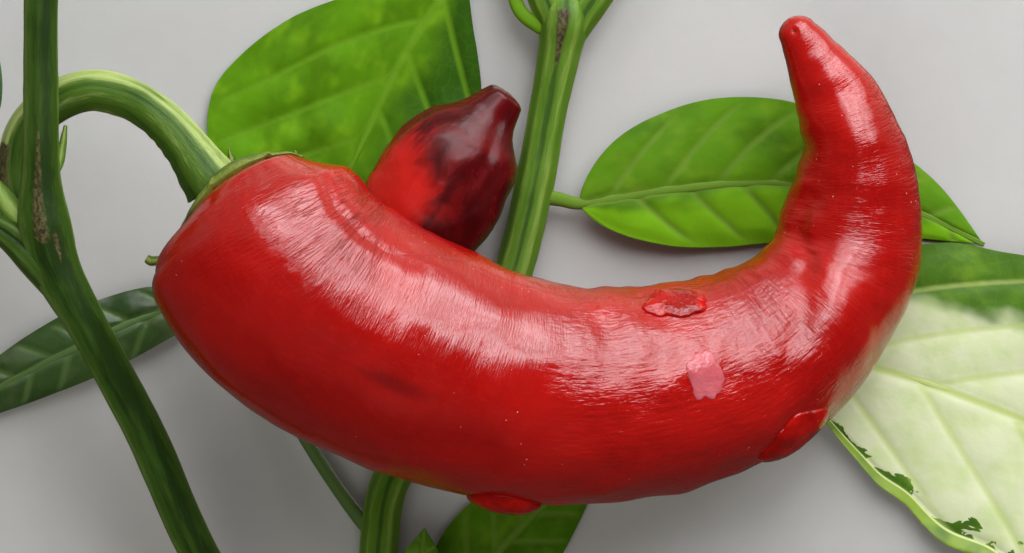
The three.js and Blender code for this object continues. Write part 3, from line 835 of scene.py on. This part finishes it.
def darkFinish():
    # Half ripe skin: maroon with a bright red cheek, glossy, faintly pitted
    material, tree, shader = startMaterial("Dark skin")
    straight = mark(tree, "straight", "Vector")
    mottle = noise(tree, straight, (6, 4, 4), 3, 0.6, 0.5)
    cheek = strayed(tree, mark(tree, "cheek"), mottle, 0.9)
    maroon, wine, red = (0.042, 0.0014, 0.002, 1), (0.10, 0.002, 0.003, 1), (0.46, 0.012, 0.008, 1)
    colour = blendColour(tree, rangeOf(tree, mottle, 0.3, 0.7), maroon, wine)
    colour = blendColour(tree, rangeOf(tree, cheek, 0.25, 0.8), colour, red)
    grain = noise(tree, straight, (1.5, 0.5, 0.5), 3)
    feed(tree, shader, colour=colour, normal=bumped(tree, grain, 0.03),
         roughness=rangeOf(tree, mottle, 0.3, 0.7, 0.22, 0.32))
    shader.inputs["Specular IOR Level"].default_value = 0.25
    return material


def makeSecondFruit():
    # Like the large fruit but flatter, with three furrows and a small hump by its tip
    reach, radius, turn, _ = fruitRows(second)
    straight = unrolled(reach, turn, radius)
    lumps = [(0.35, 5.5, 71), (0.28, 2.9, 72), (0.03, 1, 73)]
    relief = sum(height * noiseAt(straight, size, seed) for height, size, seed in lumps)
    furrows = sum(hump(radius * turnGap(turn, degrees), 1.1) for degrees in (-70, 25, 130))
    relief -= 0.4 * furrows * smoothStep(8, 20, reach)
    relief += 0.35 * hump(reach - 24, 1.4) * hump(turnGap(turn, 60), 0.8)
    relief *= smoothStep(0, 1.5, radius)
    points = aroundPlaces(placesOn(second["curve"], reach), turn, radius + relief, second["flat"])
    cheek = hump(reach - 10, 8) * hump(turnGap(turn, -36), 0.85)
    skin = closedSkin(points, straight=straight, cheek=cheek)
    buildPiece("SecondFruit", [skin], darkFinish(), ["fruit_second"])


makeSecondFruit()


# Leaves

def leafOutline(share, peak):
    # Half width at a share of the length: (share / peak)^a ((1 - share) / (1 - peak))^b, where a makes it
    # widest at the peak
    tipPower = 1.05
    footPower = tipPower * peak / (1 - peak)
    share = np.clip(share, 0, 1)
    return (share / peak) ** footPower * ((1 - share) / (1 - peak)) ** tipPower


def bladeSkin(form):
    # Thin closed blade over midrib and margins: both faces are the same grid of share along and share
    # across, lifted by margin waves, puffed up between side veins that leave the midrib at an angle
    # and bend towards the tip, and pinched at midrib and veins
    curve = curveThrough([(*point, 0) for point in form["midrib"]])
    length, half, seed = curveLength(curve), 34, form["seed"]
    t = np.linspace(0, 1, form["rows"])
    share = (0.15 * (0.5 - 0.5 * np.cos(math.pi * t)) + 0.85 * t)[:, None]
    acrossTop = np.sin(0.5 * math.pi * np.linspace(-1, 1, 2 * half + 1) * 0.999)
    acrossTop /= abs(acrossTop[0])
    across = np.concatenate([acrossTop, acrossTop[-2:0:-1]])[None, :]
    face = np.concatenate([np.ones(2 * half + 1), -np.ones(2 * half - 1)])[None, :]
    share, across, face = np.broadcast_arrays(share, across, face)
    aside, right = np.abs(across), across > 0
    outline = leafOutline(share, np.where(right, form["peakRight"], form["peak"]))
    along, size = share * length, np.where(right, form["right"], form["left"])
    ripple = noiseAt(np.stack([along, np.where(right, 40.0, 0.0), 0 * along], -1), (6, 1, 1), seed)
    width = size * (outline + form["fringe"] * ripple * outline**0.3 * np.minimum(1, 12 * (1 - share)))
    width = np.maximum(width, 0.12)
    out = aside * width
    leftAngle, rightAngle = form["veinAngles"]
    spacing, angle = form["veinSpacing"], np.radians(np.where(right, rightAngle, leftAngle))
    start = along - out / np.tan(angle) - 0.012 * out**2
    leftShift, rightShift = form["veinShift"]
    phase = start / spacing + np.where(right, rightShift, leftShift)
    toVein = np.abs(phase - np.round(phase)) * spacing * np.sin(angle)
    reaching = smoothStep(1.02, 0.75, aside) * smoothStep(0, 0.06, share) * smoothStep(0, 2, start)
    vein = hump(toVein, form["veinWidth"]) * reaching
    midrib = hump(out, 0.9 - 0.55 * share)
    pillow = np.abs(np.sin(math.pi * phase)) ** 0.7 - 0.4
    puff = (form["puff"] * pillow * smoothStep(0, 0.25, aside) * smoothStep(1.0, 0.7, aside)
            * np.minimum(1, outline * 1.5))
    rise = np.where(right, form["riseRight"], form["riseLeft"]) * aside**1.5 * outline
    wave = form["ripple"] * np.sin(5 * math.pi * share) * across**2 * outline
    flutter = 0.4 * ripple * aside**3 * outline
    curl = form["curl"] * (smoothStep(0.9, 1.0, across) - 0.3 * hump(across - 0.89, 0.02)) * outline**0.5
    lift = rise + wave + flutter + puff + curl - 0.25 * midrib - 0.08 * vein * (face > 0)
    flat = np.stack([along, across * width, 0 * along], -1)
    pucker = form["pucker"] * noiseAt(flat, form["puckerSize"], seed + 4) * np.minimum(1, 2 * outline)
    lift += pucker + 0.04 * noiseAt(flat, 1.5, seed + 3)
    thick = form["thick"] * (1 - 0.8 * aside**6) * np.minimum(1, 0.25 + 3 * outline)
    place = placesOn(curve, along)
    points = (place["centre"] + place["side"] * (across * width)[..., None]
              + place["up"] * (lift + 0.5 * face * thick)[..., None])
    straight = np.stack([along, across * width, 0.2 * face], -1)
    return closedSkin(points, straight=straight, phase=phase, reaching=reaching, midrib=midrib, side=across)


def ribSkin(form):
    # Leaf stalk that runs on as the midrib: a thin tapering limb from the stem to the leaf's tip,
    # hardly standing out of the blade
    path = form["stalk"] + form["midrib"]
    first, last = form["ribRadii"]
    stations = []
    for i, (x, y, z) in enumerate(path):
        radius = first + (last - first) * i / (len(path) - 1)
        sunk = 0.98 * radius - form["ribStand"] if i >= len(form["stalk"]) else 0
        stations.append((x, y, z - sunk, radius))
    ridges = [(0, 30, -0.06), (-60, 25, 0.05), (60, 25, 0.05)]
    skin = limb(stations, ridges, 32, 0.5, 0.03, form["seed"] + 7)
    points = len(skin["points"])
    skin["marks"] = {"straight": skin["marks"]["straight"], "phase": np.full(points, 0.5),
                     "reaching": np.zeros(points), "midrib": np.ones(points), "side": np.zeros(points)}
    return skin


def leafFinish(name, form):
    # Leaf: greens clouded by slow noise, faintly quilted between small veins, pale main veins, a waxy gloss;
    # where the form asks for it painted shading over one side, a painted sheen with a ragged edge, and a
    # lighter turned margin
    material, tree, shader = startMaterial(name)
    palette = form["palette"]
    straight = mark(tree, "straight", "Vector")
    cloud = noise(tree, straight, (14, 10, 10), 3, 0.6)
    blotch = noise(tree, straight, (5, 4, 4), 2, 0.6)
    colour = blendColour(tree, rangeOf(tree, cloud, 0.3, 0.65), palette["dark"], palette["mid"])
    colour = blendColour(tree, rangeOf(tree, blotch, 0.45, 0.8), colour, palette["light"])
    side = mark(tree, "side")
    # Painted shading over one side of the blade: painted shade on TopLeaf, painted light on RightLeaf
    if "shade" in palette:
        edge = strayed(tree, times(tree, side, form["shadeSide"]), cloud, 1.2)
        colour = blendColour(tree, rangeOf(tree, edge, *form["shadeRange"]), colour, palette["shade"])
    # Painted sheen: pale greens for the sky's reflection, kept off a ragged band by the margin and off the
    # upper part
    if "pale" in palette:
        ragged = noise(tree, straight, (5, 2.6, 2.6), 3.5, 0.6, 0.6)
        lower = rangeOf(tree, strayed(tree, side, ragged, 0.6), 0.845, 0.835)
        upper = rangeOf(tree, strayed(tree, side, cloud, 0.5), -0.62, -0.45)
        tint = blendColour(tree, rangeOf(tree, blotch, 0.35, 0.75), palette["pale"], palette["paleGreen"])
        colour = blendColour(tree, times(tree, lower, upper), colour, tint)
    drift = addNode(tree, "ShaderNodeTexNoise", {
        "Vector": scaled(tree, straight, (2.4, 2.4, 2.4)), "Scale": 1.0, "Detail": 3.0}).outputs["Color"]
    bent = addNode(tree, "ShaderNodeVectorMath", {0: drift, 1: (2.2, 2.2, 2.2), 2: straight},
                   operation="MULTIPLY_ADD").outputs[0]
    net = addNode(tree, "ShaderNodeTexVoronoi", {
        "Vector": scaled(tree, bent, (1.9, 1.9, 1.9)), "Scale": 1.0}, feature="DISTANCE_TO_EDGE").outputs[0]
    veinlet = rangeOf(tree, net, 0.08, 0.0)
    colour = blendColour(tree, times(tree, veinlet, form["net"]), colour, palette["vein"])
    phase = mark(tree, "phase")
    fromVein = gapTo(tree, phase, calculate(tree, "ROUND", phase))
    pitch = form["veinSpacing"] * math.sin(math.radians(sum(form["veinAngles"]) / 2))
    width = form["veinWidth"] / pitch
    vein = times(tree, rangeOf(tree, fromVein, 1.3 * width, 0.2 * width), mark(tree, "reaching"))
    vein = calculate(tree, "MAXIMUM", times(tree, vein, form["veinShow"]),
                     rangeOf(tree, mark(tree, "midrib"), 0.3, 0.9, 0, 0.9))
    colour = blendColour(tree, vein, colour, palette["vein"])
    if "rim" in palette:
        rim = blendColour(tree, rangeOf(tree, blotch, 0.35, 0.7), palette["rim"], palette["rimDark"])
        colour = blendColour(tree, rangeOf(tree, side, 0.9, 0.915), colour, rim)
        crest = rangeOf(tree, gapTo(tree, side, 0.908), 0.012, 0.004)
        colour = blendColour(tree, crest, colour, palette["crest"])
    pitted = noise(tree, straight, (0.7, 0.7, 0.7), 3)
    height = plus(tree, times(tree, blotch, 0.3), times(tree, pitted, 0.4))
    feed(tree, shader, colour=colour, normal=bumped(tree, height, 0.07),
         roughness=rangeOf(tree, cloud, 0.3, 0.7, form["rough"], form["rough"] + 0.12))
    shader.inputs["Specular IOR Level"].default_value = form["shine"]
    return material


brightGreens = shades(dark=(0.034, 0.090, 0.004), mid=(0.056, 0.145, 0.005), light=(0.10, 0.205, 0.009),
                      vein=(0.10, 0.185, 0.02))
# What a leaf has unless its own entry says otherwise. Pairs are left and right, lengths millimetres.
plainLeaf = {
    "rows": 170, "thick": 0.4, "fringe": 0.02, "riseLeft": 0, "riseRight": 0, "ripple": 0, "curl": 0,
    "puff": 0.35, "pucker": 0.1, "puckerSize": 3.2, "veinAngles": (48, 48), "veinShift": (0.45, 0),
    "veinWidth": 0.55, "veinShow": 0.7, "net": 0.1, "ribRadii": (1.0, 0.3), "ribStand": 0.12,
    "rough": 0.44, "shine": 0.04,
}
leaves = {
    "TopLeaf": {
        "node": "leaf_top", "slot": "leaf", "seed": 81,
        # Its darkest green, given for its shading, is painted shade over one side of the blade
        "palette": shades(dark=(0.050, 0.130, 0.003), mid=(0.082, 0.215, 0.004), light=(0.13, 0.28, 0.007),
                          vein=(0.10, 0.22, 0.010), shade=(0.022, 0.070, 0.004)),
        "shadeSide": -1, "shadeRange": (-0.1, 0.7),
        "stalk": [(4.0, 31.9, 4.2), (1.2, 33.9, 4.2), (-0.6, 38.2, 3.6), (-3.4, 40.8, 2.6)],
        "midrib": [(-6, 40, 1.8), (-10.5, 34, 1.2), (-15, 26.5, 0.8), (-20.5, 14.8, 0.7), (-29.5, -2, 0.6)],
        "left": 14, "right": 20.4, "ripple": 0.2, "peak": 0.5, "peakRight": 0.58, "veinSpacing": 8.5,
        "pucker": 0.3, "puckerSize": 4.5},
    "RightLeaf": {
        "node": "leaf_right", "slot": "leaf", "seed": 85,
        # Its shading green, lighter than its mid green, is painted light over the leaf's lower half
        "palette": {**brightGreens, **shades(mid=(0.070, 0.180, 0.005), shade=(0.125, 0.30, 0.006))},
        "shadeSide": 1, "shadeRange": (0.0, 0.4),
        "stalk": [(3.6, 10.4, 3.2), (6.2, 9.9, 3.2)],
        "midrib": [(8.7, 9.4, 3.3), (20, 11.1, 3), (34.5, 12, 1.8), (50, 9.2, 0.8), (61, 4.1, 0.7)],
        "left": 11, "right": 8, "riseLeft": -1, "riseRight": -0.8, "ripple": 0.3, "peak": 0.38,
        "veinSpacing": 7},
    "LowerRightLeaf": {
        "node": "leaf_lower_right", "slot": "pale_leaf", "seed": 89,
        # Its pale greens are a painted sheen, the sky's reflection on the leaf
        "palette": {**brightGreens, **shades(
            pale=(0.50, 0.54, 0.34), paleGreen=(0.42, 0.50, 0.24), vein=(0.36, 0.44, 0.13),
            rim=(0.15, 0.24, 0.005), rimDark=(0.06, 0.13, 0.004), crest=(0.40, 0.46, 0.16))},
        "stalk": [(-4.0, -13.2, 2.8), (-2.2, -12.9, 2.6), (6.2, -12.3, 2), (19.1, -9.7, 1.5)],
        "midrib": [(27, -8.3, 1.4), (38, -9.5, 1.2), (47.6, -11.9, 1.3), (59, -15.7, 1.8),
                   (74.6, -22.4, 1.8), (92, -33, 0.6)],
        "left": 20, "right": 19.2, "riseLeft": 1.2, "riseRight": -0.3, "peak": 0.5, "peakRight": 0.6,
        "rows": 220, "curl": 0.9, "veinSpacing": 13, "veinAngles": (30, 40), "veinShift": (-0.15, 0),
        "rough": 0.36, "puff": 0.25, "net": 0.04, "ribRadii": (0.8, 0.3), "ribStand": 0.0, "shine": 0.3,
        "fringe": 0.035, "veinShow": 0.55},
    "LeftLeaf": {
        "node": "leaf_left", "slot": "dark_leaf", "seed": 93,
        "palette": shades(dark=(0.012, 0.035, 0.006), mid=(0.028, 0.066, 0.010), light=(0.06, 0.095, 0.03),
                          vein=(0.07, 0.13, 0.03)),
        "stalk": [(-18.0, -33.0, 2.6), (-20.1, -30.6, 2.4), (-26, -22, 1.9), (-33, -10, 1.6)],
        "midrib": [(-38.5, -3, 1.6), (-47.1, -5.2, 2), (-58.5, -10.3, 2.2), (-66, -14.2, 2),
                   (-79, -21.1, 0.8)],
        "left": 4.5, "right": 4.5, "riseLeft": -0.6, "riseRight": -0.6, "peak": 0.38, "veinSpacing": 5.5,
        "rough": 0.28, "shine": 0.5, "puff": 0.2},
    "BottomLeaf": {
        "node": "leaf_bottom", "slot": "leaf", "seed": 97, "palette": brightGreens,
        "stalk": [(-16.4, -54.6, 3.2), (-14.1, -53, 3), (-12.2, -49.6, 2.2)],
        "midrib": [(-9.8, -46, 1.6), (-3.5, -37.5, 1.6), (3, -30.5, 1.5), (13, -21, 0.8)],
        "left": 7, "right": 7, "riseLeft": -0.7, "riseRight": -0.7, "peak": 0.38, "veinSpacing": 5},
    "YoungLeaf": {
        "node": "leaf_young", "slot": "leaf", "seed": 101,
        "palette": {**brightGreens, **shades(mid=(0.07, 0.17, 0.012), light=(0.12, 0.23, 0.02))},
        "stalk": [(-15.4, -48.6, 3.6), (-13.4, -47, 4.4)],
        "midrib": [(-12.4, -43.5, 5.2), (-11.9, -39.5, 6), (-11.2, -32.2, 6.6)],
        "left": 3.5, "right": 3.5, "riseLeft": 0.8, "riseRight": 0.8, "peak": 0.38, "veinSpacing": 2.6,
        "veinWidth": 0.3, "puff": 0.15, "rows": 90, "ribRadii": (0.9, 0.2)},
    "SideLeaf": {
        "node": "leaf_side", "slot": "pale_leaf", "seed": 105,
        "palette": shades(dark=(0.02, 0.06, 0.018), mid=(0.05, 0.11, 0.045), light=(0.10, 0.16, 0.08),
                          vein=(0.13, 0.20, 0.07)),
        "stalk": [(-70.2, 9.6, 22.0), (-70, 11.6, 22.6)],
        "midrib": [(-70.2, 15.6, 23.6), (-69.8, 21, 25), (-68.6, 27, 26), (-66.8, 35, 26)],
        "left": 6, "right": 6, "riseLeft": 0.8, "riseRight": 0.8, "peak": 0.38, "veinSpacing": 4,
        "puff": 0.2, "ribRadii": (0.9, 0.2)},
}
for name, form in leaves.items():
    form = {**plainLeaf, "peakRight": form["peak"], **form}
    buildPiece(name, [bladeSkin(form), ribSkin(form)], leafFinish(f"{name} skin", form),
               [form["node"]])


# Water on the large fruit: a flat drop and a thin film on its body, two drops that hang at its lower edge

def waterFinish(name, dark, light):
    # Wet film: a red under a smooth rippled gloss, for the red below that shows through it; pinks given to it
    # are a painted reflection of the sky
    material, tree, shader = startMaterial(name)
    place = addNode(tree, "ShaderNodeTexCoord").outputs["Object"]
    ripple = noise(tree, place, (0.0016, 0.0016, 0.0016), 2)
    depth = noise(tree, place, (0.004, 0.004, 0.004), 2)
    feed(tree, shader, normal=bumped(tree, ripple, 0.3),
         colour=blendColour(tree, rangeOf(tree, depth, 0.3, 0.7), dark, light))
    shader.inputs["Roughness"].default_value = 0.03
    shader.inputs["IOR"].default_value = 1.4
    return material


def dropSkin(form):
    # Cap on the skin: shares of a ragged oval outline, height times (1 - share^power)^0.5 over it, and
    # an underside sunk into the fruit
    share = np.array([0, 0.15, 0.3, 0.45, 0.6, 0.72, 0.82, 0.9, 0.95, 0.98, 1.0])[:, None]
    share, spoke = np.broadcast_arrays(share, turnsRound(72))
    ring = np.stack([np.cos(spoke), np.sin(spoke), 0 * spoke], -1)
    uneven = noiseAt(ring, 0.5, form["seed"]) + 0.4 * noiseAt(ring, 0.2, form["seed"] + 1)
    ragged = 1 + form["ragged"] * uneven
    slant = math.radians(form["slant"])
    a = form["half"][0] * ragged * share * np.cos(spoke)
    b = form["half"][1] * ragged * share * np.sin(spoke)
    reach = form["reach"] + a * math.cos(slant) - b * math.sin(slant)
    radius = placesOn(fruit["curve"], reach)["radius"]
    turn = math.radians(form["turn"]) + (a * math.sin(slant) + b * math.cos(slant)) / radius
    points, outward, _ = fruitSkin(reach, turn, radius)
    top = form["height"] * np.sqrt(np.maximum(0, 1 - share ** form["power"]))
    sag = form["sag"] * np.maximum(0, 1 - share**2)
    above = points + outward * top[..., None] + np.array([0, -1.0, 0]) * sag[..., None]
    below = points - outward * form["sunk"] * np.minimum(1, 8 * (1 - share) + 0.2)[..., None]
    return closedSkin(np.vstack([above, below[::-1]]))


# Reach and turn (degrees) of the middle, half sizes, how ragged, height and power of the cap; sag is how
# far it hangs down the picture, sunk how deep it sits in the skin
drops = [
    {"reach": 66.0, "turn": -53, "half": (4.9, 2.6), "ragged": 0.2, "height": 0.75, "power": 3, "slant": 6,
     "sag": 0, "sunk": 0.15, "seed": 111},
    {"reach": 45.9, "turn": 84, "half": (3.7, 3.2), "ragged": 0.06, "height": 1.2, "power": 2, "slant": 0,
     "sag": 0.4, "sunk": 0.3, "seed": 117},
    {"reach": 76.2, "turn": 65, "half": (4.2, 4.2), "ragged": 0.1, "height": 0.9, "power": 2.4, "slant": 0,
     "sag": 0.3, "sunk": 0.3, "seed": 120},
]
film = {"reach": 65.8, "turn": -4, "half": (2.3, 3.1), "ragged": 0.2, "height": 0.16, "power": 8,
        "slant": 8, "sag": 0, "sunk": 0.15, "seed": 114}
clearWater = waterFinish("Water on red", (0.20, 0.0015, 0.001, 1), (0.40, 0.005, 0.003, 1))
# The thin film's pinks are a painted reflection of the sky
paintedSkyWater = waterFinish("Water with sky in it", (0.38, 0.06, 0.07, 1), (0.46, 0.11, 0.13, 1))
buildPiece("WaterDrops", [dropSkin(form) for form in drops], clearWater)
buildPiece("WaterFilm", [dropSkin(film)], paintedSkyWater)
